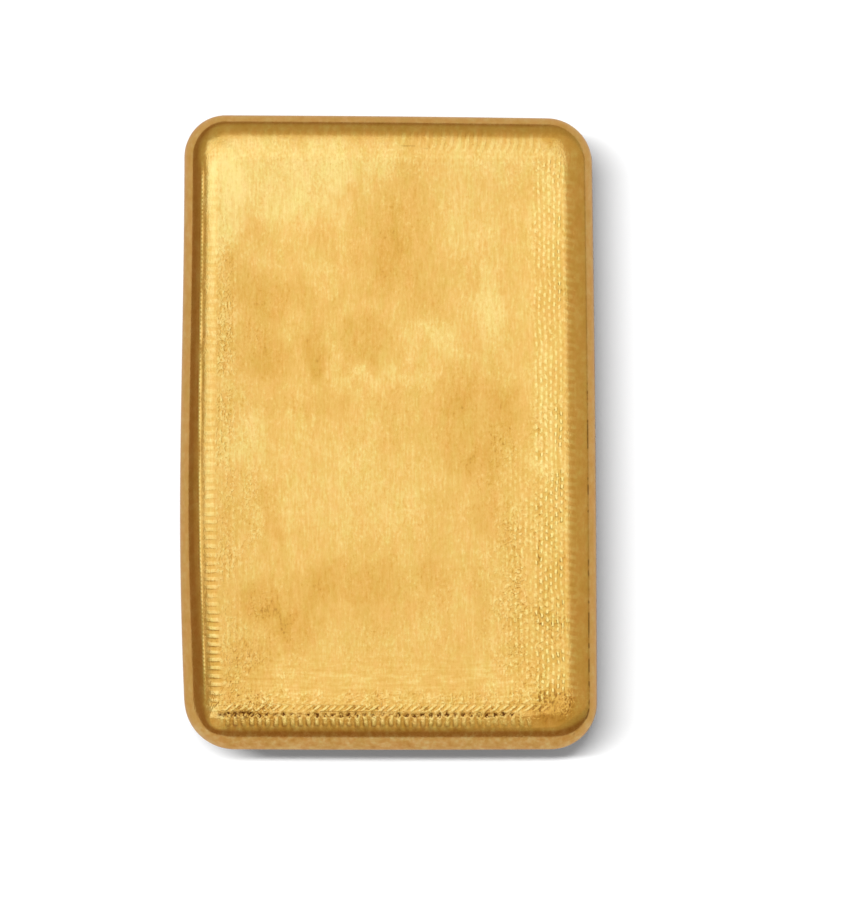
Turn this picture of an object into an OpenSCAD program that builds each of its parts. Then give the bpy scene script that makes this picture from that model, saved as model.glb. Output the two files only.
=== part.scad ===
// A poured metal ingot: one flat bar, cast in an open mould and lying on its base.
// The mould gives it the flat base, the rounded lower edge and the drafted walls.
// Above the mould's contact line the metal was free, so its edge is a round shoulder.
// Inside the crest of that shoulder the face has sunk as the metal cooled.
// X runs across the bar, Y along it from front to back, and Z up, in millimetres.
// The origin is on the base plane, under the middle of the bar's bounding box.

/* [Plan] */
// Length along the left side, before the ends bow
length = 65.9; // [50:0.1:90]
// Width across the front, before the sides bow
width = 42.9; // [36:0.1:60]
// How much narrower the bar is at the back
back_narrowing = 0.6; // [0:0.1:2]
// How much shorter the bar is along its right side
right_shortening = 0.4; // [0:0.1:2]
// How far the left side bows outwards
left_bow = 0.45; // [0:0.05:1.5]
// Where the left side bows most, as a share of the way from back to front
left_bow_peak = 0.65; // [0.4:0.01:0.75]
// How far the right side bows outwards
right_bow = 0.1; // [0:0.05:1]
// How far the front and the back bow outwards
end_bow = 0.05; // [0:0.05:1]
// Corner radius at the front left
corner_front_left = 5.2; // [3.5:0.1:8]
// Corner radius at the front right
corner_front_right = 4.9; // [3.5:0.1:8]
// Corner radius at the back right
corner_back_right = 4.7; // [3.5:0.1:8]
// Corner radius at the back left
corner_back_left = 4.4; // [3.5:0.1:8]

/* [Section] */
// Height of the crest above the base
height = 9.95; // [8:0.05:16]
// Lean of the mould's walls from the vertical, in degrees
draft = 6; // [2:0.5:15]
// Radius of the lower edge
base_radius = 1.4; // [0.5:0.1:2.5]
// Rise of the shoulder, from the bar's widest line to its crest
shoulder_rise = 3.2; // [1.6:0.1:4]
// Run of the shoulder, from the outline to the crest, on the left
shoulder_left = 2.8; // [1.5:0.1:3.6]
// Run of the shoulder on the right
shoulder_right = 2.6; // [1.5:0.1:3.6]
// Run of the shoulder at the front
shoulder_front = 2.9; // [1.5:0.1:3.6]
// Run of the shoulder at the back
shoulder_back = 2.3; // [1.5:0.1:3.6]
// Slope that the shoulder still has where it meets the crest, in degrees
crest_lean = 15; // [4:1:25]
// How far the face has sunk below the crest
dish_depth = 0.5; // [0.1:0.05:1.2]
// How far in from the crest the face reaches that depth
dish_run = 7; // [4:0.5:9]

/* [Hidden] */

gold = [0.86, 0.64, 0.22];

// The least corner radius that a line inside the outline keeps
inner_corner = 1.6;

// Steps round each corner, along each side, and up each stretch of the section
corner_steps = 12;
long_side_steps = 10;
short_side_steps = 8;
base_steps = 5;
wall_steps = 2;
shoulder_steps = 12;
dish_steps = 8;

// Corners and sides are listed anticlockwise from the back right, so each side starts at its
// own corner: back, left, front, right.
corner_signs = [[1, 1], [-1, 1], [-1, -1], [1, -1]];
corner_radii = [corner_back_right, corner_back_left, corner_front_left, corner_front_right];
side_steps = [short_side_steps, long_side_steps, short_side_steps, long_side_steps];
side_bows = [end_bow, left_bow, end_bow, right_bow];
side_bow_peaks = [0.5, left_bow_peak, 0.5, 0.5];

// The outline's corners as they would be if they were sharp
sharp_corners = [
    [width / 2 - back_narrowing, length / 2 - right_shortening],
    [-width / 2, length / 2],
    [-width / 2, -length / 2],
    [width / 2, -length / 2]
];

// Height of the bar's widest line, where the metal left the mould
widest_z = height - shoulder_rise;

// How far a side bows outwards at a share of the way along it, falling to nothing at its ends
function bow(side, share) =
    side_bows[side] * sin(180 * pow(share, ln(0.5) / ln(side_bow_peaks[side])));

// Run of the shoulder where the outline faces a direction
function shoulder_run(facing) =
    let(across = facing[0] > 0 ? shoulder_right : shoulder_left)
    let(along = facing[1] > 0 ? shoulder_back : shoulder_front)
    across * pow(facing[0], 2) + along * pow(facing[1], 2);

// How far the sweep starts below the base plane, before it is cut flat there
base_spare = 1;

// The section's stations, from the base up and then inwards over the face. Each is
// [fixed inset, share of the shoulder's run added to it, height].
base_stations = [
    for (step = [0 : base_steps])
        let(turn = 90 - (90 - draft) * step / base_steps)
        let(tangent_z = base_radius * (1 - sin(draft)))
        let(wall_inset = (widest_z - tangent_z) * tan(draft))
        [wall_inset + base_radius * (cos(draft) - cos(turn)), 0, base_radius * (1 - sin(turn))]
];
spare_station = [base_stations[0][0], 0, -base_spare];
wall_foot = base_stations[base_steps];
wall_stations = [
    for (step = [1 : wall_steps])
        let(share = step / wall_steps)
        [wall_foot[0] * (1 - share), 0, wall_foot[2] + (widest_z - wall_foot[2]) * share]
];
shoulder_stations = [
    for (step = [1 : shoulder_steps])
        let(full_turn = 90 - crest_lean)
        let(turn = full_turn * step / shoulder_steps)
        [0, (1 - cos(turn)) / (1 - cos(full_turn)), widest_z + shoulder_rise * sin(turn) / sin(full_turn)]
];
dish_stations = [
    for (step = [1 : dish_steps])
        let(share = step / dish_steps)
        [dish_run * share, 1, height - dish_depth * sin(90 * share)]
];
stations = concat([spare_station], base_stations, wall_stations, shoulder_stations, dish_stations);

// Inset of a station from the outline, where the outline faces a direction
function inset(station, facing) = station[0] + station[1] * shoulder_run(facing);

// A point on a station's ring at a corner, at a turn from the corner's first side
function corner_point(station, corner, turn) =
    let(signs = corner_signs[corner])
    let(heading = turn + 90 * corner)
    let(facing = [cos(heading), sin(heading)])
    let(in = inset(station, facing))
    let(radius = max(corner_radii[corner] - in, inner_corner))
    let(centre = sharp_corners[corner] - signs * (in + radius))
    concat(centre + facing * radius, station[2]);

// A point on a station's ring along the side that follows a corner
function side_point(station, side, share) =
    let(from = corner_point(station, side, 90))
    let(to = corner_point(station, (side + 1) % 4, 0))
    let(heading = 90 * (side + 1))
    let(facing = [cos(heading), sin(heading), 0])
    from + (to - from) * share + facing * bow(side, share);

// One ring of points, anticlockwise from above
function ring(station) = [
    for (side = [0 : 3])
        each concat(
            [for (step = [0 : corner_steps]) corner_point(station, side, 90 * step / corner_steps)],
            [for (step = [1 : side_steps[side] - 1]) side_point(station, side, step / side_steps[side])]
        )
];

// The middle of the widest ring's box, which is moved onto the origin
widest_ring = ring([0, 0, widest_z]);
widest_x = [for (point = widest_ring) point[0]];
widest_y = [for (point = widest_ring) point[1]];
middle = [max(widest_x) + min(widest_x), max(widest_y) + min(widest_y), 0] / 2;

// The swept bar, from a little below the base plane up to the middle of its face
module swept_bar() {
    rings = [for (station = stations) ring(station)];
    count = len(rings[0]);
    last = len(rings) - 1;
    base_middle = count * len(rings);
    face_middle = base_middle + 1;
    last_z = stations[last][2];
    walls = [
        for (level = [0 : last - 1], step = [0 : count - 1])
            let(next = (step + 1) % count)
            [
                level * count + step,
                (level + 1) * count + step,
                (level + 1) * count + next,
                level * count + next
            ]
    ];
    base = [for (step = [0 : count - 1]) [base_middle, step, (step + 1) % count]];
    face = [
        for (step = [0 : count - 1])
            [face_middle, last * count + (step + 1) % count, last * count + step]
    ];
    points = concat([for (level = rings) each level], [[0, 0, -base_spare], [0, 0, last_z]]);
    polyhedron(points = points, faces = concat(base, face, walls));
}

// The spare metal below the base plane
module below_base() {
    translate([-length, -length, -2 * base_spare])
        cube([2 * length, 2 * length, 2 * base_spare]);
}

module ingot() {
    color(gold)
        translate(-middle)
            difference() {
                swept_bar();
                below_base();
            }
}

ingot();
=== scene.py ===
import math

import bmesh
import bpy
import numpy as np
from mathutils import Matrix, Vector


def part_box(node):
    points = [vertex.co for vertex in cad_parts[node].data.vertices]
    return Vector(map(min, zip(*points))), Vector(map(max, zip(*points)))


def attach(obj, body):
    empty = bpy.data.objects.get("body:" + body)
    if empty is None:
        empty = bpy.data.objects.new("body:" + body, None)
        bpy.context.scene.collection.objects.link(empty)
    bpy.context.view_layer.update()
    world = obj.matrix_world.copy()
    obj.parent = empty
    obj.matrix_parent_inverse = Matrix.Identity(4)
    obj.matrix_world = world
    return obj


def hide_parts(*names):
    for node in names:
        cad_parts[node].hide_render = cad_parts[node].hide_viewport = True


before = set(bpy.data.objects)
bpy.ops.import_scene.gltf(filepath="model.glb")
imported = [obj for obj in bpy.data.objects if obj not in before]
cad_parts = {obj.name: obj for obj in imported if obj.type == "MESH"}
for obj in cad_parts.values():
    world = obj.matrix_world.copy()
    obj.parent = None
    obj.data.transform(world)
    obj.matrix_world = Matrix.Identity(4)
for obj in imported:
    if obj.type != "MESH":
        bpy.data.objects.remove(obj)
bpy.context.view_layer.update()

barLow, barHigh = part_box("ingot")
print("frame loaded, bar box in mm:", [round(c * 1000, 2) for c in barHigh - barLow])

mm = 0.001
closeBy = 1e-6                   # two points nearer than this are one
ringDrop = 0.5                   # mm, from one wall ring of the blank to the next

# What a user would change about the bar's shape, all in mm and degrees
barShape = {
    "width": 42.9,               # across the front, before the sides bow
    "length": 65.9,              # along the left side
    "backRunsIn": 0.6,           # the back is this much narrower
    "rightRunsIn": 0.4,          # the right side is this much shorter
    "leftBow": 0.45,             # how far the left side bows out
    "leftBowPeak": 0.65,         # where it does, as a share of the way from back to front
    "rightBow": 0.1,
    "endBow": 0.05,
    "bowsFrom": 4.5,             # how far from an outline's corner a bow starts
    "cornerBackRight": 4.7,
    "cornerBackLeft": 4.4,
    "cornerFrontLeft": 5.2,
    "cornerFrontRight": 4.9,
    "widestAt": 6.75,            # height of the widest line, where the metal left the mould
    "crestAt": 9.92,             # height of the crest that rings the face
    # How far the shoulder turns from upright, and its run
    "shoulderTurn": {"left": 78, "right": 78, "front": 75, "back": 62},
    "shoulderRun": {"left": 3.35, "right": 3.0, "front": 2.45, "back": 3.75},
    # The gentle slope past the shoulder
    "lipRun": {"left": 0.5, "right": 0.3, "front": 2.1, "back": 1.2},
    "lipRise": {"left": 0.03, "right": 0.02, "front": 0.36, "back": 0.10},
    # Below 1 the shoulder is steeper low down
    "fullness": {"left": 0.95, "right": 1.15, "front": 0.63, "back": 1.10},
    "frontLeftRun": 0.35,        # how much longer the left shoulder runs near the front
    "frontLeftFullness": -0.15,
    "tightRun": -1.1,            # the shoulder of the front left corner is shorter and fuller
    "tightFullness": 0.12,
    "flatPlace": (19.0, 30.15),  # a small flat cuts the back right corner
    "flatHeading": 43.5,
    "flatSlope": 34,
    "flatAt": 9.66,              # its height at its place
    "flatReach": 2.2,
    "flatLonger": 0.3,           # how much longer the shoulder runs there
    "draft": 6,                  # lean of the walls
    "footRadius": 1.4,           # lower edge
    "sunk": 0.5,                 # how far the face has sunk below the crest
    "sinkRun": 7,                # how far in from the crest it takes to sink
    "gridAcross": 128,           # cells along an end, between its corners
    "gridAlong": 172,            # cells along a side, between its corners
    "cornerCells": 28,           # cells round a corner
    "blankRun": 3.1,             # shoulder run of the flat blank, before each side gets its own
    "blankTurn": 75,
    "followRun": 6,              # how far inside the crest the face still follows its shift
    # From how far in to how far in the cells are halved
    "fineFrom": 0.7,
    "fineFromCorner": 1.0,
    "fineReach": {"right": 6.9, "front": 6.4, "left": 4.7, "back": 4.3},
    "shoulderRings": 12,
    "footRings": 7,
    "wallRings": 6,
}

# The fine relief that the metal froze with, in mm
ripples = {
    "pitch": 0.842,              # from one bar to the next, along an edge
    "cellAcross": 0.52,          # from one row of beads to the next
    "barHeight": 0.020,
    "ledgeHeight": 0.10,         # outer end of the front bars, whose tops are nearly level
    "dashHeight": 0.042,
    "beadHeight": 0.026,
    "dimpleDepth": 0.08,
    "seamDepth": 0.03,           # groove that runs along the left crest
    "swell": 0.03,               # slow waves of the whole face
    # How far in from its edge each row starts and ends, and how soft its ends are
    "rungRow": (2.5, 3.75, 0.35),          # left
    "fingerRow": (1.7, 2.7, 0.3),          # back
    "scallopRow": (2.2, 3.3, 0.25),        # right
    "barRow": (2.65, 3.6, 0.12),           # front, and the rows below too
    "dashRow": (4.22, 4.88, 0.15),
    "secondDashRow": (4.95, 5.4, 0.12),
    "thirdDashRow": (5.5, 5.95, 0.15),
    "dimpleRow": (3.6, 4.0, 0.14),
    "blotchRow": (3.3, 4.2, 0.3),
    "beadRows": (3.3, 6.3, 0.3),           # right
    "fadingBeadRows": (6.3, 9.5, 1.2),
    "leftBeadRows": (4.2, 6.6, 0.6),
    "backBeadRows": (3.6, 5.2, 0.5),
    # From where to where it runs along that edge
    "barSpan": (-17, 14.5, 0.6),
    "fingerSpan": (-15, 16, 1),
    "scallopSpan": (-28, 27, 1.5),
    "dashSpan": (-17, 16.5, 1),
    "secondDashSpan": (-16, 17, 2),
    "thirdDashSpan": (-15, 15, 2),
    "dimpleSpan": (-17.5, 13, 1),
    "blotchSpan": (-17.5, -14, 1),
    "seamSpan": (-28, 27, 2),
    "beadSpan": (-28.0, 28.5, 0.6),
    "leftBeadSpan": (-27, 24, 2),
    "backBeadSpan": (-2, 17, 2),
    # The seam: how far in it lies, and its half width
    "seamRidge": (1.98, 0.16),
    "seamGroove": (2.30, 0.18),
}


# Which way each corner lies, and the name of its radius
corners = [(1, 1, "cornerBackRight"), (-1, 1, "cornerBackLeft"),
           (-1, -1, "cornerFrontLeft"), (1, -1, "cornerFrontRight")]

# Limits on a cosine that make the section of a ridge, and its mean. Each is the value for a broad
# ridge, and what the narrowest one adds. The finish draws the same sections again, more sharply
ridgeFoot, ridgeTop, ridgeMean = (-0.95, 1.25), (0.2, 0.8), (0.72, -0.45)
beadAcross, beadAlong = (-0.5, 0.7), (-0.5, 0.6)
beadLink = 0.25                  # how high a row stays between its beads


def pick(kind, test):
    # Selects, in edit mode, the parts of a kind that pass a test, and returns how many
    bpy.ops.mesh.select_mode(type=kind)
    bpy.ops.mesh.select_all(action="DESELECT")
    mesh = bmesh.from_edit_mesh(bpy.context.object.data)
    parts = {"VERT": mesh.verts, "EDGE": mesh.edges, "FACE": mesh.faces}[kind]
    count = 0
    for part in parts:
        if test(part):
            part.select_set(True)
            count += 1
    bmesh.update_edit_mesh(bpy.context.object.data)
    return count


def cutInTwoRounds(pieces):
    # One subdivide call makes at most 100 cuts, so the edge is cut, and then each piece is halved
    bpy.ops.mesh.subdivide(number_cuts=pieces // 2 - 1)
    bpy.ops.mesh.subdivide(number_cuts=1)


def startBlank(shape):
    bpy.ops.object.select_all(action="DESELECT")
    bpy.ops.mesh.primitive_plane_add(size=1, location=(0, 0, 0))
    blank = bpy.context.object
    blank.name = "pouredBar"
    halfWidth = shape["width"] * mm / 2
    halfLength = shape["length"] * mm / 2
    bpy.ops.object.mode_set(mode="EDIT")
    bpy.ops.transform.resize(value=(2 * halfWidth, 2 * halfLength, 1))
    for sideX, sideY, name in corners:
        place = Vector((sideX * halfWidth, sideY * halfLength, 0))
        pick("VERT", lambda v: (v.co - place).length < closeBy)
        bpy.ops.mesh.bevel(offset=shape[name] * mm, offset_type="OFFSET",
                           segments=shape["cornerCells"], profile=0.5, affect="VERTICES")
    # The outline's straight edges are cut as wires, so that the face isn't cut with them
    pick("FACE", lambda f: True)
    bpy.ops.mesh.delete(type="ONLY_FACE")
    longest = shape["width"] * mm / 2
    pick("EDGE", lambda e: e.calc_length() > longest and abs(e.verts[0].co.y - e.verts[1].co.y) < closeBy)
    cutInTwoRounds(shape["gridAcross"])
    pick("EDGE", lambda e: e.calc_length() > longest and abs(e.verts[0].co.x - e.verts[1].co.x) < closeBy)
    cutInTwoRounds(shape["gridAlong"])
    pick("EDGE", lambda e: True)
    bpy.ops.mesh.edge_face_add()
    return blank


def ringInsets(shape):
    # How far in each ring of the shoulder lies, on the flat blank
    turns = [math.radians(shape["blankTurn"]) * k / shape["shoulderRings"]
             for k in range(shape["shoulderRings"] + 1)]
    full = 1 - math.cos(turns[-1])
    return [shape["blankRun"] * (1 - math.cos(turn)) / full for turn in turns]


def ringShoulder(shape):
    insets = ringInsets(shape)
    for outer, inner in zip(insets, insets[1:]):
        pick("FACE", lambda f: len(f.verts) > 4)
        bpy.ops.mesh.inset(thickness=(inner - outer) * mm, depth=0)


def gridFace(shape):
    # Inside the crest the face is one grid, whose four corners lie at the middles of the arcs
    halfWidth = shape["width"] * mm / 2
    halfLength = shape["length"] * mm / 2
    pick("FACE", lambda f: len(f.verts) > 4)
    bpy.ops.mesh.delete(type="ONLY_FACE")
    inner = (shape["blankRun"] - 0.05) * mm
    pick("EDGE", lambda e: e.is_boundary and all(
        abs(v.co.x) < halfWidth - inner and abs(v.co.y) < halfLength - inner for v in e.verts))
    bpy.ops.mesh.select_mode(type="VERT")
    mesh = bmesh.from_edit_mesh(bpy.context.object.data)
    centreX = halfWidth - shape["cornerBackRight"] * mm
    centreY = halfLength - shape["cornerBackRight"] * mm
    start = min((v for v in mesh.verts if v.select and v.co.x > centreX and v.co.y > centreY),
                key=lambda v: abs(math.atan2(v.co.y - centreY, v.co.x - centreX) - math.pi / 4))
    mesh.select_history.clear()
    mesh.select_history.add(start)
    bmesh.update_edit_mesh(bpy.context.object.data)
    bpy.ops.mesh.fill_grid(span=shape["gridAlong"] + shape["cornerCells"], offset=0)


def refineRippledZones(shape):
    # The bands that carry bars and beads get cells of half the size
    halfWidth = shape["width"] / 2
    halfLength = shape["length"] / 2
    reach = shape["fineReach"]

    def rippled(face):
        centre = face.calc_center_median() / mm
        right, left = halfWidth - centre.x, halfWidth + centre.x
        back, front = halfLength - centre.y, halfLength + centre.y
        if min(right, left, back, front) < shape["fineFrom"]:
            return False
        cornerIn = inset(np.array([centre.x]), np.array([centre.y]), shape)[0][0]
        return cornerIn > shape["fineFromCorner"] and (
            right < reach["right"] or front < reach["front"] or left < reach["left"] or back < reach["back"])

    pick("FACE", rippled)
    bpy.ops.mesh.subdivide(number_cuts=1)


def dropWalls(shape):
    # The outline is drawn straight down, ring by ring; its section is given later
    pick("EDGE", lambda e: e.is_boundary)
    for _ in range(shape["wallRings"] + shape["footRings"]):
        bpy.ops.mesh.extrude_region_move(TRANSFORM_OT_translate={"value": (0, 0, -ringDrop * mm)})
    bpy.ops.mesh.edge_face_add()
    bpy.ops.mesh.select_all(action="SELECT")
    bpy.ops.mesh.normals_make_consistent(inside=False)


def ramp(value, start, end):
    share = np.clip((value - start) / (end - start), 0, 1)
    return share * share * (3 - 2 * share)


def stretch(value, start, end, soft):
    # 1 from start to end, and 0 outside, with soft ends
    return ramp(value, start - soft, start + soft) * (1 - ramp(value, end - soft, end + soft))


def softNoise(u, v, seed):
    # Smooth random hills, about one to a unit each way, from -1 to 1
    table = np.random.default_rng(seed).uniform(-1, 1, (128, 128))
    iu, iv = np.floor(u).astype(int), np.floor(v).astype(int)
    fu, fv = u - iu, v - iv
    fu, fv = fu * fu * (3 - 2 * fu), fv * fv * (3 - 2 * fv)
    a, b = table[iu % 128, iv % 128], table[(iu + 1) % 128, iv % 128]
    c, d = table[iu % 128, (iv + 1) % 128], table[(iu + 1) % 128, (iv + 1) % 128]
    return (a * (1 - fu) + b * fu) * (1 - fv) + (c * (1 - fu) + d * fu) * fv


def inset(x, y, shape):
    # How far in from the straight blank's outline a point is, and which way the outline faces.
    # Near a corner's centre the direction settles on the diagonal, so that it never jumps
    halfWidth, halfLength = shape["width"] / 2, shape["length"] / 2
    depth = np.minimum(halfWidth - np.abs(x), halfLength - np.abs(y))
    faceX, faceY = 0 * x, 0 * y
    diagonal = math.sqrt(0.5)
    for sideX, sideY, name in corners:
        radius = shape[name]
        offX, offY = sideX * x - (halfWidth - radius), sideY * y - (halfLength - radius)
        reach = np.hypot(offX, offY) + 1e-9
        onArc = (offX > 0) & (offY > 0)
        besideX = np.where(offX > 0, 1, np.where(offY > 0, 0, (offY / reach) ** 2))
        besideY = np.where(offY > 0, 1, np.where(offX > 0, 0, (offX / reach) ** 2))
        weightX = np.where(onArc, offX / reach, besideX)
        weightY = np.where(onArc, offY / reach, besideY)
        near = 1 - ramp(reach, 0.4, 2.4)
        quarter = (sideX * x >= 0) & (sideY * y >= 0)
        depth = np.where(onArc, radius - reach, depth)
        faceX = np.where(quarter, sideX * (weightX + near * (diagonal - weightX)), faceX)
        faceY = np.where(quarter, sideY * (weightY + near * (diagonal - weightY)), faceY)
    return depth, faceX, faceY


def sideRun(faceX, faceY, runs):
    across = np.where(faceX > 0, runs["right"], runs["left"])
    along = np.where(faceY > 0, runs["back"], runs["front"])
    total = faceX ** 2 + faceY ** 2 + 1e-9
    return (across * faceX ** 2 + along * faceY ** 2) / total


def ridges(phase, narrow):
    # A row of rounded ridges, from broad pillows to narrow fingers, about a mean of nothing
    foot, top, mean = (broad + gain * narrow for broad, gain in (ridgeFoot, ridgeTop, ridgeMean))
    return ramp(np.cos(2 * math.pi * phase), foot, top) - mean


def foremost(layers):
    # Of several overlapping layers, each point takes the strongest, as far as it stands out
    amounts = np.stack([layer[0] for layer in layers])
    order = np.argsort(amounts, axis=0)
    first, second = order[-1], order[-2]
    points = np.arange(amounts.shape[1])
    amount = np.clip(amounts[first, points] - amounts[second, points], 0, None)
    return [amount] + [np.stack([layer[k] + 0 * amount for layer in layers])[first, points]
                       for k in range(1, len(layers[0]))]


def relief(x, y, shape, look):
    # Height of the fine relief at each point, in mm, and what the finish needs to sharpen it
    right, left = shape["width"] / 2 - x, shape["width"] / 2 + x
    back, front = shape["length"] / 2 - y, shape["length"] / 2 + y
    pitch, cell = look["pitch"], look["cellAcross"]
    wander = 0.12 * softNoise(x / 2.2, y / 2.2, 3) + 0.06 * softNoise(x / 0.8, y / 0.8, 4)
    uneven = 1 + 0.45 * softNoise(x / 1.3, y / 1.3, 5)
    leftIn = left - 0.3 * ramp(-y, -10, 25)
    blurred = 0.10 * softNoise(x / 0.9, y / 0.5, 9)

    # Ridges across the edges: strength, place along the row, and how narrow they are
    rungs = stretch(leftIn + blurred, *look["rungRow"])
    rungs *= (0.2 * stretch(y, 17, 27, 1) + 0.3 * stretch(y, -4, 17, 4)
              + (0.5 + 0.45 * ramp(-y, 12, 20)) * stretch(y, -28, -4, 4))
    barSpan = stretch(x, *look["barSpan"])
    bars = stretch(front + blurred, *look["barRow"]) * barSpan * (0.8 - 0.3 * ramp(x, 6, 12))
    fingerStart, fingerEnd, fingerSoft = look["fingerRow"]
    fingers = 0.42 * stretch(back + 2 * blurred, fingerStart, fingerEnd + ramp(x, -4, 8), fingerSoft)
    fingers *= (0.45 + 0.55 * ramp(x, -4, 6)) * stretch(x, *look["fingerSpan"])
    scallops = 0.42 * stretch(right + 1.5 * blurred, *look["scallopRow"])
    scallops *= stretch(y, *look["scallopSpan"])
    dashes = 1.2 * stretch(front, *look["dashRow"]) * stretch(x, *look["dashSpan"])
    secondDashes = 0.6 * stretch(front, *look["secondDashRow"]) * stretch(x, *look["secondDashSpan"])
    thirdDashes = 0.35 * stretch(front, *look["thirdDashRow"]) * stretch(x, *look["thirdDashSpan"])
    alongX, alongY = x + wander, y + wander
    amount, phase, narrow = foremost([
        (rungs, alongY / pitch, 0.45),
        (bars, alongX / pitch, 0.35),
        (fingers, (alongX + 0.25 * np.clip(back - 2.4, 0, 2) ** 2) / pitch, 0.5),
        (scallops, (alongY - 0.25 * (right - 3)) / pitch, 0.4),
        (dashes, (alongX - 1.2 * (front - 4.5)) / pitch, 0.4),
        (secondDashes, (alongX - 1.7 * (front - 5.1) + 0.45) / pitch, 0.5),
        (thirdDashes, (alongX - 2.2 * (front - 5.7) + 0.2) / pitch, 0.5),
    ])
    tall = np.where(dashes > rungs, look["dashHeight"], look["barHeight"])
    height = uneven * amount * ridges(phase, narrow) * tall
    marks = {"ridge": amount * uneven, "ridgePhase": phase, "ridgeNarrow": narrow}

    # The front bars end in nearly level ledges
    ledge = ramp(front + blurred, 2.25, 2.9) * np.clip(1 - (front - 2.9) / 0.85, 0, 1)
    ledge *= barSpan * (1 - 0.45 * ramp(x, 5, 12))
    height += look["ledgeHeight"] * ledge * ramp(np.cos(2 * math.pi * alongX / pitch), -0.7, 0.4)

    # A ragged row of dimples at the inner ends of the front bars
    ragged = 0.16 * softNoise(x / 0.28, y / 0.28, 18)
    behindBars = ramp(np.cos(2 * math.pi * (alongX / pitch + 0.05)) + 3 * ragged, -0.4, 0.8)
    dimples = stretch(front + ragged, *look["dimpleRow"]) * stretch(x, *look["dimpleSpan"])
    dimples *= (0.15 + 0.85 * behindBars) * np.clip(1.1 + 0.6 * softNoise(x / 1.1, y / 9, 8), 0.5, 1.3)
    blotches = stretch(front, *look["blotchRow"]) * stretch(x, *look["blotchSpan"])
    dimples += 0.5 * blotches * (0.7 + softNoise(x / 0.5, y / 0.3, 13))
    height -= look["dimpleDepth"] * dimples
    marks["dimple"] = dimples

    # A thin beaded ridge and a shallow groove along the left crest
    seam = stretch(y, *look["seamSpan"]) * (0.85 + 0.5 * softNoise(x, y / 1.7, 19))
    seamRidge, seamGroove = (np.exp(-((leftIn - at) / half) ** 2)
                             for at, half in (look["seamRidge"], look["seamGroove"]))
    height += look["seamDepth"] * seam * (seamRidge - 0.6 * seamGroove)
    marks["seam"] = seam
    marks["fromLeft"] = leftIn

    # Beads in staggered rows, which fade towards the middle: strength, rows across, place along
    lower = ramp(-y, -8, 4)
    nearRight = stretch(right, *look["beadRows"]) * (0.8 + 0.35 * lower)
    nearRight += 0.5 * stretch(right, *look["fadingBeadRows"]) * ramp(-y, -2, 9)
    nearRight *= stretch(y, *look["beadSpan"])
    nearLeft = 0.22 * stretch(leftIn, *look["leftBeadRows"]) * stretch(y, *look["leftBeadSpan"])
    nearBack = 0.12 * stretch(back, *look["backBeadRows"]) * stretch(x, *look["backBeadSpan"])
    jitter = 0.22 * softNoise(x / 0.5, y / 1.9, 14)
    beads, across, along = foremost([
        (nearRight, (right + wander) / cell, alongY / pitch + jitter),
        (nearLeft, left / (1.2 * cell), (y + 0.3 * left) / pitch + jitter),
        (nearBack, back / (1.4 * cell), x / pitch + jitter),
        (0 * x, 0 * x, 0 * x),
    ])
    beads *= np.clip(0.9 + 0.7 * softNoise(x / 1.1, y / 1.1, 6), 0.2, 1.5)
    chain = ramp(np.cos(2 * math.pi * across), *beadAcross)
    link = ramp(np.cos(2 * math.pi * along) * np.cos(math.pi * across), *beadAlong)
    height += look["beadHeight"] * beads * (chain * (beadLink + (1 - beadLink) * link) - 0.35)
    marks.update({"bead": beads, "beadAcross": across, "beadAlong": along})

    # Where the skin is busy with small wrinkles, and where they lie across the bar
    patchy = softNoise(x / 1.9, y / 2.6, 15) + 0.6 * softNoise(x / 0.9, y / 1.3, 16)
    nearLeft = (0.40 + 0.2 * ramp(y, -4, 4)) * stretch(leftIn, 3.7, 5.6, 0.4) * stretch(y, -28, 19, 2)
    nearRight = 0.40 * stretch(right, 3.2, 6.6, 0.4) * stretch(y, -28, 28, 1) * (0.45 + 0.55 * lower)
    busy = 0.16 + 0.16 * patchy + 0.1 * stretch(back, 2.5, 6, 1)
    for zone, patchiness in (
            (nearLeft, 0.5),
            (0.18 * stretch(leftIn, 5.6, 8.5, 1.5) * stretch(y, -28, 17, 3), 0.9),
            (nearRight, 0.4),
            (0.45 * stretch(right, 6.6, 11, 2.0) * ramp(-y, -4, 8), 0.9),
            (0.55 * stretch(front, 3.2, 6.2, 0.5), 0.5),
            (0.15 * ramp(-y, 17, 27) * ramp(-x, 4, 10), 0.8)):
        busy += zone * (1 + patchiness * patchy)
    marks["busy"] = np.clip(busy, 0, 1.4)
    marks["crosswise"] = ramp(-y, 21.5, 25.5) * ramp(front, 4.2, 5.0)
    marks["mottled"] = 0.45 + 0.55 * (1 - ramp(front, 2.2, 3.4))
    # A pale strip beside the left groove, and a painted highlight on the row of front bars, which makes
    # their tops paler
    paleStrip = 0.4 * stretch(leftIn, 2.55, 3.45, 0.15) * ramp(y, -13, -4)
    marks["tone"] = paleStrip * (1 + 0.5 * softNoise(x, y / 1.7, 17))
    marks["tone"] += 0.35 * stretch(front, 2.4, 3.5, 0.2) * barSpan
    return height, marks
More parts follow.
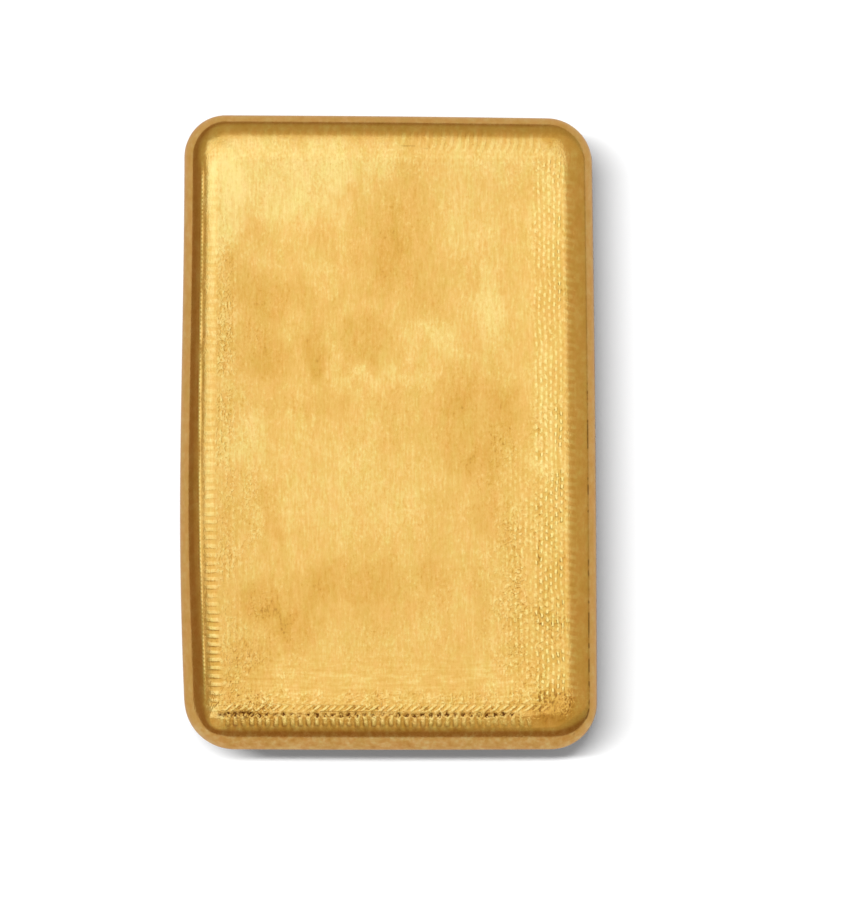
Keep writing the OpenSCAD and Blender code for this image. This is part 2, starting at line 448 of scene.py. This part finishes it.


# Paler and deeper patches of the face, in mm: centre across and along, half width,
# half length, and how much paler it is; deeper ones are below nothing
patches = [
    (-12, 27, 7, 4, 0.5), (-17, 24, 2.2, 5.5, 0.6), (-4, 28, 5, 3, 0.4), (-9, 22.5, 4, 2.5, 0.35),
    (10.5, 13.5, 1.8, 4, 0.5), (5, 9.5, 2.5, 1.8, 0.4), (0, 5.5, 4.5, 0.9, 0.4), (-15, -1, 2.8, 3, 0.4),
    (8, 24, 6, 6, 0.2), (-3, -7.5, 7, 4.5, 0.12), (16.5, -8, 1.6, 4.5, 0.3), (16.5, 22, 1.8, 6, 0.3),
    (12, 28, 5, 2, 0.2), (16.5, 2, 1.2, 8, 0.3), (-6, -1.5, 3, 2, 0.2), (-12.5, 14.5, 4.2, 2.4, -0.5),
    (-16, 17.5, 1, 1.6, -0.45), (-8.5, 12.5, 1.4, 2.4, -0.25), (-7, 8, 1.2, 2.8, -0.5),
    (-13, 10, 3, 3, -0.35), (-10, 7.5, 3.5, 2.5, -0.35), (-2.5, 9.5, 2.4, 2.8, -0.45),
    (1.5, 20.5, 1.8, 2.4, -0.25), (1, 21, 4.0, 5.4, -0.35), (3.5, 14.5, 2.2, 2.0, -0.35),
    (-0.5, 17, 3.5, 3, -0.25), (-6.5, 20, 1.4, 2.6, -0.3), (7, 4, 2.2, 2.6, -0.25),
    (8.5, 0.5, 4.5, 4.8, -0.4), (9.8, -5.5, 1.8, 4.2, -0.5), (12.5, 0.5, 2.5, 3, -0.35),
    (-11.5, -8.5, 1.2, 3.4, -0.4), (-15.5, -8, 1, 2.2, -0.25), (-8.5, -15.5, 2.7, 1.8, -0.35),
    (-2.5, -15.5, 4.5, 1.7, -0.45), (4.2, -14.5, 1.8, 2.0, -0.4), (-12.5, -18.3, 2.8, 2.0, -0.6),
    (-10, -20.5, 2.6, 2.4, -0.6), (-7.5, -18, 2.2, 2.4, -0.3), (-15, -24.5, 2.8, 2.4, -0.4),
    (9.3, -18, 0.8, 4, -0.3), (-8, 3, 5, 1.2, -0.25), (0, -18, 4, 2, -0.2),
    # The last three are painted light: painted shade on the back right flat and at the front right corner, a
    # painted highlight at the front left corner
    (16.4, 30.5, 1.7, 0.9, -1.3), (-17.8, -29.7, 1.2, 1.1, 0.6), (17.7, -29.2, 2.3, 2.2, -0.9),
]


def paintToneAndLight(x, y):
    # Patches with ragged edges, smeared a little along the bar
    ragX = x + 0.9 * softNoise(x / 1.9, y / 3.1, 21) + 0.45 * softNoise(x / 0.7, y / 1.9, 22)
    ragY = y + 1.3 * softNoise(x / 1.5, y / 3.3, 23) + 0.6 * softNoise(x / 0.6, y / 1.2, 24)
    tone = 0.17 * softNoise(x / 2.4, y / 4.2, 25) + 0.12 * softNoise(x / 0.7, y / 1.6, 26)
    for midX, midY, halfX, halfY, paler in patches:
        reach = ((ragX - midX) / halfX) ** 2 + ((ragY - midY) / halfY) ** 2
        tone = tone + paler * (1 - ramp(reach, 0.3, 1.8))
    return np.clip(tone, -1.2, 1.2)


def shapeBar(blank, shape, look):
    count = len(blank.data.vertices)
    points = np.zeros(count * 3)
    blank.data.vertices.foreach_get("co", points)
    points = points.reshape(-1, 3) / mm
    x, y, drop = points[:, 0].copy(), points[:, 1].copy(), -points[:, 2]
    depth, faceX, faceY = inset(x, y, shape)

    # Each side's shoulder gets its own run; the face inside follows, less and less
    frontLeft = ramp(-y, 8, 24) * np.clip(-faceX, 0, 1) ** 2
    tight = 4 * np.clip(faceX * faceY, 0, 1) ** 2 * ramp(-y, 5, 15)
    run = sideRun(faceX, faceY, shape["shoulderRun"])
    run += shape["frontLeftRun"] * frontLeft + shape["tightRun"] * tight
    flatX, flatY = shape["flatPlace"]
    fromFlat = ((x - flatX) ** 2 + (y - flatY) ** 2) / shape["flatReach"] ** 2
    run = run + shape["flatLonger"] * np.exp(-fromFlat)
    follow = np.where(depth < shape["blankRun"], depth / shape["blankRun"],
                      1 - ramp(depth, shape["blankRun"], shape["blankRun"] + shape["followRun"]))
    shift = (run - shape["blankRun"]) * follow
    x, y = x - faceX * shift, y - faceY * shift
    depth, faceX, faceY = inset(x, y, shape)

    # Section of the shoulder, of the gentle lip past it and of the sunk face
    lipRun = sideRun(faceX, faceY, shape["lipRun"])
    lipRise = sideRun(faceX, faceY, shape["lipRise"])
    rise = shape["crestAt"] - lipRise - shape["widestAt"]
    fullness = sideRun(faceX, faceY, shape["fullness"])
    fullness += shape["frontLeftFullness"] * frontLeft + shape["tightFullness"] * tight
    turnAll = np.radians(sideRun(faceX, faceY, shape["shoulderTurn"]))
    share = np.clip(depth / run, 1e-9, 1) ** (1 / fullness)
    turn = np.arccos(np.clip(1 - share * (1 - np.cos(turnAll)), -1, 1))
    climb = rise * np.cos(turn) * (1 - np.cos(turnAll))
    advance = run * fullness * share ** (fullness - 1) * np.maximum(np.sin(turn), 1e-6) * np.sin(turnAll)
    onShoulder = depth < run
    z = shape["widestAt"] + rise * np.sin(turn) / np.sin(turnAll)
    past = depth - run
    z += np.where(onShoulder, 0, lipRise * (1 - (1 - np.clip(past / lipRun, 0, 1)) ** 1.6))
    heading = math.radians(shape["flatHeading"])
    outward = (x - flatX) * math.cos(heading) + (y - flatY) * math.sin(heading)
    z = np.minimum(z, shape["flatAt"] - outward * math.tan(math.radians(shape["flatSlope"])))
    halfWidth, halfLength = shape["width"] / 2, shape["length"] / 2
    crestIn = {side: shape["shoulderRun"][side] + 0.6 * shape["lipRun"][side] for side in shape["lipRun"]}
    pastX = halfWidth - np.abs(x) - np.where(x > 0, crestIn["right"], crestIn["left"])
    pastY = halfLength - np.abs(y) - np.where(y > 0, crestIn["back"], crestIn["front"])
    sunkX, sunkY, sunkIn = (np.sin(math.pi / 2 * np.clip(c / shape["sinkRun"], 0, 1))
                            for c in (pastX, pastY, past - 0.6 * lipRun))
    z -= shape["sunk"] * np.minimum(sunkX * sunkY, sunkIn)

    # Fine relief, along the surface's own normal
    height, marks = relief(x, y, shape, look)
    height += look["swell"] * softNoise(x / 9 + 3.3, y / 11 + 1.7, 11) * ramp(depth, 3, 8)
    height += 0.3 * look["swell"] * softNoise(x / 3.1, y / 3.7, 12) * ramp(depth, 2, 5)
    height *= ramp(depth, 0.6, 1.4) * (drop < 1e-6)
    lean = np.where(onShoulder, np.arctan2(climb, advance), 0)
    x += faceX * np.sin(lean) * height
    y += faceY * np.sin(lean) * height
    z += np.cos(lean) * height

    # Section of the walls and the foot, on the rings below the outline
    draft = math.radians(shape["draft"])
    footTop = shape["footRadius"] * (1 - math.sin(draft))
    wallInset = (shape["widestAt"] - footTop) * math.tan(draft)
    level = np.rint(drop / ringDrop).astype(int)
    wallShare = np.clip(level / shape["wallRings"], 0, 1)
    footShare = np.clip((level - shape["wallRings"]) / shape["footRings"], 0, 1)
    footTurn = draft + (math.pi / 2 - draft) * footShare
    below = level > 0
    isFoot = level > shape["wallRings"]
    footIn = wallInset + shape["footRadius"] * (math.cos(draft) - np.cos(footTurn))
    wallIn = np.where(isFoot, footIn, wallInset * wallShare)
    wallZ = np.where(isFoot, shape["footRadius"] * (1 - np.sin(footTurn)),
                     shape["widestAt"] + (footTop - shape["widestAt"]) * wallShare)
    outX, outY = inset(points[:, 0], points[:, 1], shape)[1:]
    x = np.where(below, points[:, 0] - outX * wallIn, x)
    y = np.where(below, points[:, 1] - outY * wallIn, y)
    z = np.where(below, wallZ, z)

    # The plan's lean, and the bows between its corners
    toRight = np.clip((x + halfWidth) / shape["width"], 0, 1)
    toBack = np.clip((y + halfLength) / shape["length"], 0, 1)
    fromCorner = shape["bowsFrom"]
    fromBack = np.clip((halfLength - fromCorner - y) / (shape["length"] - 2 * fromCorner), 0, 1)
    leftPower = math.log(0.5) / math.log(shape["leftBowPeak"])
    outLeft = shape["leftBow"] * np.sin(math.pi * fromBack ** leftPower)
    outRight = shape["rightBow"] * np.sin(math.pi * fromBack)
    fromLeft = np.clip((x + halfWidth - fromCorner) / (shape["width"] - 2 * fromCorner), 0, 1)
    outEnd = shape["endBow"] * np.sin(math.pi * fromLeft)
    x = x - shape["backRunsIn"] * toRight * toBack - outLeft * (1 - toRight) + outRight * toRight
    y = y - shape["rightRunsIn"] * toRight * toBack + outEnd * (2 * toBack - 1)

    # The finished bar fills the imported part's box
    for axis, values in enumerate((x, y)):
        low, high = values.min(), values.max()
        wantLow, wantHigh = barLow[axis] / mm, barHigh[axis] / mm
        values -= low
        values *= (wantHigh - wantLow) / (high - low)
        values += wantLow
    z += np.where(below, 0, np.minimum(0, barHigh[2] / mm - z))
    points = np.stack([x, y, z], axis=1) * mm
    blank.data.vertices.foreach_set("co", points.ravel())

    # What the finish reads from the points
    marks["inward"] = np.where(below, -1, depth)
    marks["tone"] += paintToneAndLight(x, y)
    for name, values in marks.items():
        mark = blank.data.attributes.new(name, "FLOAT", "POINT")
        mark.data.foreach_set("value", values.astype(np.float32))
    blank.data.update()


bar = startBlank(barShape)
ringShoulder(barShape)
gridFace(barShape)
refineRippledZones(barShape)
dropWalls(barShape)
bpy.ops.object.mode_set(mode="OBJECT")
print("blank cut:", len(bar.data.vertices), "points")
shapeBar(bar, barShape, ripples)
bpy.ops.object.shade_smooth()
print("bar shaped:", sum(len(p.vertices) - 2 for p in bar.data.polygons), "triangles")


goldLook = {
    "darkest": (0.33, 0.19, 0.045, 1),
    "deep": (0.63, 0.433, 0.115, 1),
    "middle": (0.725, 0.562, 0.203, 1),
    "pale": (0.815, 0.775, 0.37, 1),
    "palest": (0.92, 0.88, 0.47, 1),
    "warmer": (1.035, 0.985, 1.02, 1),
    "greener": (0.965, 1.015, 0.94, 1),
    # colour of the painted shade in the dimples and of the painted dark reflection on the right shoulder
    "shadeBrown": (0.15, 0.065, 0.012, 1),
    "towardsFloor": (0.12, 0.12, 0.12, 1),   # what the floor meets instead of gold
    "faceRoughness": 0.24,
    "shoulderRoughness": 0.15,
    "wallRoughness": 0.32,
    "streakDepth": 0.0035,        # mm
    "pebbleDepth": 0.006,
    "wrinkleDepth": 0.010,
    "speckDepth": 0.004,
    "beadDepth": 0.012,
    "ridgeDepth": 0.016,
    "dotPitch": 0.421,            # mm, from one dot of the left thread to the next
    # Hills to a mm, across the bar, along it and up
    "streakGrain": (3.4, 0.45, 0.5),
    "crosswiseGrain": (0.5, 3.2, 0.5),
    "fineStreakGrain": (5.0, 1.1, 0.5),
    "pebbleGrain": (1.9, 1.6, 1.6),
    "wrinkleGrain": (3.2, 2.5, 2.5),
    "speckGrain": (4.8, 2.9, 4.2),
    "mottleGrain": (1.3, 1.0, 1.0),
    "brokenGrain": (0.9, 0.9, 0.01),
    "hueGrain": (0.9, 0.35, 0.5),
    "shadeSpotGrain": (4.6, 4.0, 4.3),
    # How much paler or deeper each makes the colour; for beads, ridges and the seam this is painted
    # highlight and painted shade
    "fineStreakShade": 1.0,
    "pebbleShade": 0.55,
    "wrinkleShade": 0.45,
    "speckShade": 0.7,
    "beadLightAndShade": 1.7,
    "ridgeLightAndShade": 1.25,
    "mottleShade": 5.0,
    "seamLightAndShade": 0.95,
    "grooveShade": 0.22,
    "lineDirt": 0.6,
    # Where each starts, is full, starts to fade and ends, in mm from the edge
    "thread": (1.78, 1.98, 2.00, 2.18),
    "groove": (2.11, 2.22, 2.26, 2.50),
    "line": (0.78, 0.87, 0.92, 1.02),
    "lineRight": (18.7, 19.5),   # it starts and is full this far right of the bar's middle
    "lineBack": 14,              # and is almost gone this far back
    "face": (1.8, 3.2),          # where the shoulder's finish turns into the face's
}


def node(tree, kind, **settings):
    made = tree.nodes.new(kind)
    for name, value in settings.items():
        setattr(made, name, value)
    return made


def feed(tree, socket, source):
    # A socket takes another socket, or a plain value
    if isinstance(source, bpy.types.NodeSocket):
        tree.links.new(source, socket)
    else:
        socket.default_value = source


def maths(tree, operation, *sources, clamp=False):
    made = node(tree, "ShaderNodeMath", operation=operation, use_clamp=clamp)
    for socket, source in zip(made.inputs, sources):
        feed(tree, socket, source)
    return made.outputs[0]


def between(tree, value, low, high, fromLow=0.0, fromHigh=1.0):
    # Value from fromLow to fromHigh becomes low to high, smoothly
    made = node(tree, "ShaderNodeMapRange", interpolation_type="SMOOTHSTEP")
    for socket, source in zip(made.inputs, (value, fromLow, fromHigh, low, high)):
        feed(tree, socket, source)
    return made.outputs[0]


def band(tree, value, start, full, fades, end):
    # 1 from full to fades, and 0 outside start and end
    return maths(tree, "MULTIPLY", between(tree, value, 0, 1, start, full),
                 between(tree, value, 1, 0, fades, end))


def grain(tree, place, scale, detail=2.0, roughness=0.5, twist=0.0):
    # Noise whose hills are 1/scale mm wide, each way
    mapped = node(tree, "ShaderNodeMapping")
    feed(tree, mapped.inputs["Vector"], place)
    mapped.inputs["Scale"].default_value = [s / mm for s in scale]
    noise = node(tree, "ShaderNodeTexNoise")
    feed(tree, noise.inputs["Vector"], mapped.outputs["Vector"])
    noise.inputs["Scale"].default_value = 1
    noise.inputs["Detail"].default_value = detail
    noise.inputs["Roughness"].default_value = roughness
    noise.inputs["Distortion"].default_value = twist
    return noise.outputs["Fac"]


def mark(tree, name):
    return node(tree, "ShaderNodeAttribute", attribute_name=name).outputs["Fac"]


def wave(tree, phase, turns=1.0):
    return maths(tree, "COSINE", maths(tree, "MULTIPLY", phase, 2 * math.pi * turns))


def centred(tree, value, size):
    # Noise, which lies about 0.5, becomes noise about nothing
    return maths(tree, "MULTIPLY_ADD", value, size, -0.5 * size)


def tint(tree, share, first, second, blend="MIX"):
    mixed = node(tree, "ShaderNodeMix", data_type="RGBA", blend_type=blend)
    for number, source in ((0, share), (6, first), (7, second)):
        feed(tree, mixed.inputs[number], source)
    return mixed.outputs[2]


def makeGold(look):
    gold = bpy.data.materials.new("castGold")
    gold.use_nodes = True
    tree = gold.node_tree
    tree.nodes.clear()
    output = node(tree, "ShaderNodeOutputMaterial")
    shader = node(tree, "ShaderNodeBsdfPrincipled")
    shader.inputs["Metallic"].default_value = 1
    # The floor meets a dull grey bar, so that its shadow stays free of yellow light
    dull = node(tree, "ShaderNodeBsdfDiffuse")
    dull.inputs["Color"].default_value = look["towardsFloor"]
    meets = node(tree, "ShaderNodeMixShader")
    feed(tree, meets.inputs["Fac"], node(tree, "ShaderNodeLightPath").outputs["Is Diffuse Ray"])
    feed(tree, meets.inputs[1], shader.outputs["BSDF"])
    feed(tree, meets.inputs[2], dull.outputs["BSDF"])
    feed(tree, output.inputs["Surface"], meets.outputs["Shader"])
    place = node(tree, "ShaderNodeTexCoord").outputs["Object"]
    inward = mark(tree, "inward")
    tone = mark(tree, "tone")
    onFace = between(tree, inward, 0, 1, 2.0, look["face"][1])

    # Streaks along the bar, or across it near the front; pebbles; wrinkles and specks where it is busy
    busy = mark(tree, "busy")
    crosswise = mark(tree, "crosswise")
    alongside = centred(tree, grain(tree, place, look["streakGrain"], 2.5), 1.0)
    alongside = maths(tree, "MULTIPLY", alongside, maths(tree, "SUBTRACT", 1.0, crosswise))
    aslant = centred(tree, grain(tree, place, look["crosswiseGrain"], 2.0), 1.8)
    streaks = maths(tree, "MULTIPLY_ADD", aslant, crosswise, alongside)
    fineStreaks = centred(tree, grain(tree, place, look["fineStreakGrain"], 1.0), 1.0)
    pebbles = centred(tree, grain(tree, place, look["pebbleGrain"], 1.5), 1.0)
    wrinkles = grain(tree, place, look["wrinkleGrain"], 0.5, 0.5, 1.2)
    wrinkles = maths(tree, "MULTIPLY", between(tree, wrinkles, -1.0, 1.0, 0.30, 0.70), busy)
    tiny = grain(tree, place, look["speckGrain"], 0.0)
    bright = between(tree, tiny, 0, 0.8, 0.66, 0.78)
    dark = between(tree, tiny, 0.9, 0, 0.20, 0.33)
    specks = maths(tree, "ADD", centred(tree, tiny, 1.4), maths(tree, "SUBTRACT", bright, dark))
    specks = maths(tree, "MULTIPLY", specks, maths(tree, "MULTIPLY_ADD", busy, 0.8, 0.25))

    # Ridges across the edges, and the seam on the left. The colour paints them: a painted highlight on each
    # ridge top and painted shade between ridges, a painted highlight on the seam's dotted thread and painted
    # shade in its groove
    narrow = mark(tree, "ridgeNarrow")
    foot, top, mean = (maths(tree, "MULTIPLY_ADD", narrow, gain, broad)
                       for broad, gain in (ridgeFoot, ridgeTop, ridgeMean))
    ridge = between(tree, wave(tree, mark(tree, "ridgePhase")), 0, 1, foot, top)
    ridge = maths(tree, "SUBTRACT", ridge, mean)
    ridge = maths(tree, "MULTIPLY", ridge, mark(tree, "ridge"))
    fromLeft = mark(tree, "fromLeft")
    sides = node(tree, "ShaderNodeSeparateXYZ")
    feed(tree, sides.inputs["Vector"], place)
    dots = wave(tree, maths(tree, "DIVIDE", sides.outputs["Y"], look["dotPitch"] * mm))
    dots = maths(tree, "MULTIPLY_ADD", dots, 0.3, 0.7)
    thread = maths(tree, "MULTIPLY", band(tree, fromLeft, *look["thread"]), dots)
    groove = maths(tree, "MULTIPLY", band(tree, fromLeft, *look["groove"]), look["grooveShade"])
    seam = maths(tree, "MULTIPLY", maths(tree, "SUBTRACT", thread, groove), mark(tree, "seam"))
    ridge = maths(tree, "MULTIPLY_ADD", seam, look["seamLightAndShade"], ridge)

    # Beads in staggered rows, with painted highlights on their tops and painted shade between them
    across = mark(tree, "beadAcross")
    chain = between(tree, wave(tree, across), 0, 1, *beadAcross)
    link = maths(tree, "MULTIPLY", wave(tree, mark(tree, "beadAlong")), wave(tree, across, 0.5))
    bead = maths(tree, "ADD", between(tree, link, 0, 1 - beadLink, *beadAlong), beadLink)
    bead = maths(tree, "MULTIPLY_ADD", chain, bead, -0.30)
    bead = maths(tree, "MULTIPLY", bead, mark(tree, "bead"))

    # Colour follows the painted patches, some of which are painted shade and painted highlight, and the
    # grain breaks them up
    shade = maths(tree, "ADD", streaks, tone)
    for grained, share in ((fineStreaks, "fineStreakShade"), (pebbles, "pebbleShade"),
                           (wrinkles, "wrinkleShade"), (specks, "speckShade")):
        shade = maths(tree, "MULTIPLY_ADD", grained, look[share], shade)
    shade = maths(tree, "MULTIPLY", shade, between(tree, inward, 0.2, 1, *look["face"]))
    shade = maths(tree, "MULTIPLY_ADD", bead, look["beadLightAndShade"], shade)
    shade = maths(tree, "MULTIPLY_ADD", ridge, look["ridgeLightAndShade"], shade)
    # The shoulder is mottled, most of all at the front
    onShoulder = maths(tree, "MULTIPLY", maths(tree, "SUBTRACT", 1.0, onFace), mark(tree, "mottled"))
    mottle = centred(tree, grain(tree, place, look["mottleGrain"], 3.0, 0.65), look["mottleShade"])
    shade = maths(tree, "MULTIPLY_ADD", mottle, onShoulder, shade)
    # A painted dark reflection: a thin dark line, broken here and there, along the foot of the right
    # shoulder
    line = band(tree, inward, *look["line"])
    broken = between(tree, grain(tree, place, look["brokenGrain"], 3.0), 0, 1, 0.48, 0.56)
    atRight = between(tree, sides.outputs["X"], 0, 1, *(c * mm for c in look["lineRight"]))
    fading = between(tree, sides.outputs["Y"], 1.0, 0.1, 0.0, look["lineBack"] * mm)
    for share in (broken, atRight, fading):
        line = maths(tree, "MULTIPLY", line, share)
    colours = node(tree, "ShaderNodeValToRGB")
    stops = colours.color_ramp.elements
    stops[0].position, stops[0].color = 0.0, look["darkest"]
    stops[1].position, stops[1].color = 1.0, look["palest"]
    for position, name in ((0.25, "deep"), (0.5, "middle"), (0.75, "pale")):
        stops.new(position).color = look[name]
    feed(tree, colours.inputs["Fac"], maths(tree, "MULTIPLY_ADD", shade, 0.25, 0.5))
    hue = centred(tree, grain(tree, place, look["hueGrain"], 3.0), 1.8)
    hue = maths(tree, "ADD", hue, centred(tree, pebbles, 0.8))
    hue = maths(tree, "MULTIPLY_ADD", mark(tree, "bead"), -0.2, hue)
    hue = maths(tree, "ADD", hue, 0.95, clamp=True)
    cast = tint(tree, hue, look["greener"], look["warmer"])
    colour = tint(tree, 1.0, colours.outputs["Color"], cast, "MULTIPLY")
    # The dimples get painted shade, broken up into dark spots
    shadeSpots = between(tree, grain(tree, place, look["shadeSpotGrain"], 1.0), 0.15, 1.25, 0.40, 0.58)
    paintedShade = maths(tree, "MULTIPLY", mark(tree, "dimple"), shadeSpots, clamp=True)
    paintedShade = maths(tree, "MULTIPLY_ADD", line, look["lineDirt"], paintedShade, clamp=True)
    feed(tree, shader.inputs["Base Color"], tint(tree, paintedShade, colour, look["shadeBrown"]))

    # Gloss: the free shoulder is the smoothest, the mould's walls are the dullest
    rough = between(tree, inward, look["shoulderRoughness"], look["faceRoughness"], *look["face"])
    rough = maths(tree, "MULTIPLY_ADD", pebbles, 0.10, rough)
    onWall = maths(tree, "LESS_THAN", inward, -0.05)
    rough = maths(tree, "MULTIPLY_ADD", onWall, look["wallRoughness"] - look["shoulderRoughness"], rough)
    feed(tree, shader.inputs["Roughness"], rough)

    # Fine relief, in mm
    height = maths(tree, "MULTIPLY", streaks, look["streakDepth"])
    height = maths(tree, "MULTIPLY_ADD", fineStreaks, 0.5 * look["streakDepth"], height)
    height = maths(tree, "MULTIPLY_ADD", pebbles, look["pebbleDepth"], height)
    height = maths(tree, "MULTIPLY_ADD", specks, look["speckDepth"], height)
    height = maths(tree, "MULTIPLY_ADD", wrinkles, look["wrinkleDepth"], height)
    height = maths(tree, "MULTIPLY", height, maths(tree, "MULTIPLY_ADD", onFace, 0.8, 0.2))
    height = maths(tree, "MULTIPLY_ADD", bead, look["beadDepth"], height)
    height = maths(tree, "MULTIPLY_ADD", ridge, look["ridgeDepth"], height)
    bump = node(tree, "ShaderNodeBump")
    bump.inputs["Strength"].default_value = 1
    bump.inputs["Distance"].default_value = mm
    feed(tree, bump.inputs["Height"], height)
    feed(tree, shader.inputs["Normal"], bump.outputs["Normal"])
    return gold


gold = makeGold(goldLook)
bar.data.materials.append(gold)
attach(bar, "root")
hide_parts("ingot")
print("gold laid on")


studio = {
    "floorSize": 6.0,            # metres
    "floorSeen": (0.985, 0.985, 0.985, 1),       # the floor as the eye sees it
    "floorMirrored": (0.615, 0.436, 0.331, 1),   # and as the gold does
    "floorLamp": (-1.45, 0.15, 0.33, 0.49, 2.0),   # left, right, front, back and height, metres
    "floorLampTurn": 4,                          # degrees, so that its left end is nearer the front
    "floorLampStrength": 58.5,
    "floorFill": 0.35,
    "softbox": (-0.47, 0.20, -0.16, 0.60, 0.50),
    "softboxStrength": 0.486,
    "core": (-0.47, -0.04, 0.03, 0.60, 0.501),   # a brighter part, up and to the left
    "coreStrength": 0.11,
    # What the gold mirrors, from low down to high up
    "room": [(0.03, (0.342, 0.172, 0.072, 1)), (0.28, (0.54, 0.370, 0.174, 1)),
             (0.50, (0.59, 0.400, 0.188, 1)), (0.64, (0.77, 0.52, 0.26, 1))],
    "roomRight": 0.83,                           # how bright its right side is, beside the others
    # How much higher up in that room each way seems, and the front right corner
    "roomTilt": {"right": 0.45, "left": -0.29, "front": -0.32, "frontRight": -0.65},
    "cameraHeight": 0.42,        # metres, above the bar's widest line
    "sensor": 36,                # mm
    "cameraX": 4.0, "cameraY": -2.13,      # mm
    "frameLength": 94.17,        # mm that the picture's long side takes in
}


def makeFloor(look):
    bpy.ops.object.select_all(action="DESELECT")
    bpy.ops.mesh.primitive_plane_add(size=look["floorSize"], location=(0, 0, 0))
    floor = bpy.context.object
    floor.name = "paleFloor"
    paint = bpy.data.materials.new("paleFloor")
    paint.use_nodes = True
    tree = paint.node_tree
    tree.nodes.clear()
    output = node(tree, "ShaderNodeOutputMaterial")
    path = node(tree, "ShaderNodeLightPath")
    mix = node(tree, "ShaderNodeMix", data_type="RGBA")
    mix.inputs[6].default_value = look["floorMirrored"]
    mix.inputs[7].default_value = look["floorSeen"]
    matt = node(tree, "ShaderNodeBsdfDiffuse")
    tree.links.new(path.outputs["Is Camera Ray"], mix.inputs[0])
    tree.links.new(mix.outputs[2], matt.inputs["Color"])
    tree.links.new(matt.outputs["BSDF"], output.inputs["Surface"])
    floor.data.materials.append(paint)
    return floor


def makeLight(name, place, strength, lights):
    # A level panel that lights only one piece
    left, right, front, back, high = place
    lamp = bpy.data.lights.new(name, "AREA")
    lamp.shape = "RECTANGLE"
    lamp.size, lamp.size_y = right - left, back - front
    lamp.energy = strength * math.pi * lamp.size * lamp.size_y
    light = bpy.data.objects.new(name, lamp)
    light.location = ((left + right) / 2, (front + back) / 2, high)
    light.visible_camera = False
    bpy.context.scene.collection.objects.link(light)
    lit = bpy.data.collections.new(name + "Lights")
    lit.objects.link(lights)
    light.light_linking.receiver_collection = lit
    return light


def makeWorld(look):
    world = bpy.data.worlds.new("studio")
    bpy.context.scene.world = world
    world.use_nodes = True
    tree = world.node_tree
    tree.nodes.clear()
    output = node(tree, "ShaderNodeOutputWorld")
    path = node(tree, "ShaderNodeLightPath")
    # The gold mirrors a room that is dark low down, and darker to the left and at the front
    split = node(tree, "ShaderNodeSeparateXYZ")
    feed(tree, split.inputs["Vector"], node(tree, "ShaderNodeTexCoord").outputs["Generated"])
    ways = {"right": maths(tree, "MAXIMUM", split.outputs["X"], 0.0),
            "left": maths(tree, "MAXIMUM", maths(tree, "MULTIPLY", split.outputs["X"], -1.0), 0.0),
            "front": maths(tree, "MAXIMUM", maths(tree, "MULTIPLY", split.outputs["Y"], -1.0), 0.0)}
    ways["frontRight"] = maths(tree, "MULTIPLY", ways["right"], ways["front"])
    level = split.outputs["Z"]
    for name, share in look["roomTilt"].items():
        level = maths(tree, "MULTIPLY_ADD", ways[name], share, level)
    room = node(tree, "ShaderNodeValToRGB")
    feed(tree, room.inputs["Fac"], level)
    stops = room.color_ramp.elements
    stops[0].position, stops[0].color = look["room"][0]
    stops[1].position, stops[1].color = look["room"][-1]
    for position, colour in look["room"][1:-1]:
        stops.new(position).color = colour
    dimmed = tint(tree, ways["right"], room.outputs["Color"], (look["roomRight"],) * 3 + (1,), "MULTIPLY")
    colour = tint(tree, path.outputs["Is Glossy Ray"], (look["floorFill"],) * 3 + (1,), dimmed)
    seen = tint(tree, path.outputs["Is Camera Ray"], colour, (1, 1, 1, 1))
    soft = node(tree, "ShaderNodeBackground")
    feed(tree, soft.inputs["Color"], seen)
    feed(tree, output.inputs["Surface"], soft.outputs["Background"])


def makeCamera(look, shape):
    eye = bpy.data.cameras.new("camera")
    eye.sensor_width = look["sensor"]
    eye.lens = look["sensor"] * look["cameraHeight"] / (look["frameLength"] * mm)
    eye.clip_start = 0.01
    camera = bpy.data.objects.new("camera", eye)
    camera.location = (look["cameraX"] * mm, look["cameraY"] * mm,
                       shape["widestAt"] * mm + look["cameraHeight"])
    bpy.context.scene.collection.objects.link(camera)
    bpy.context.scene.camera = camera


floor = makeFloor(studio)
makeLight("softbox", studio["softbox"], studio["softboxStrength"], bar)
makeLight("softboxCore", studio["core"], studio["coreStrength"], bar)
floorLamp = makeLight("floorLamp", studio["floorLamp"], studio["floorLampStrength"], floor)
floorLamp.rotation_euler[2] = math.radians(studio["floorLampTurn"])
floorLamp.visible_glossy = False
makeWorld(studio)
makeCamera(studio, barShape)
bpy.context.scene.view_settings.view_transform = "Standard"
print("studio set")
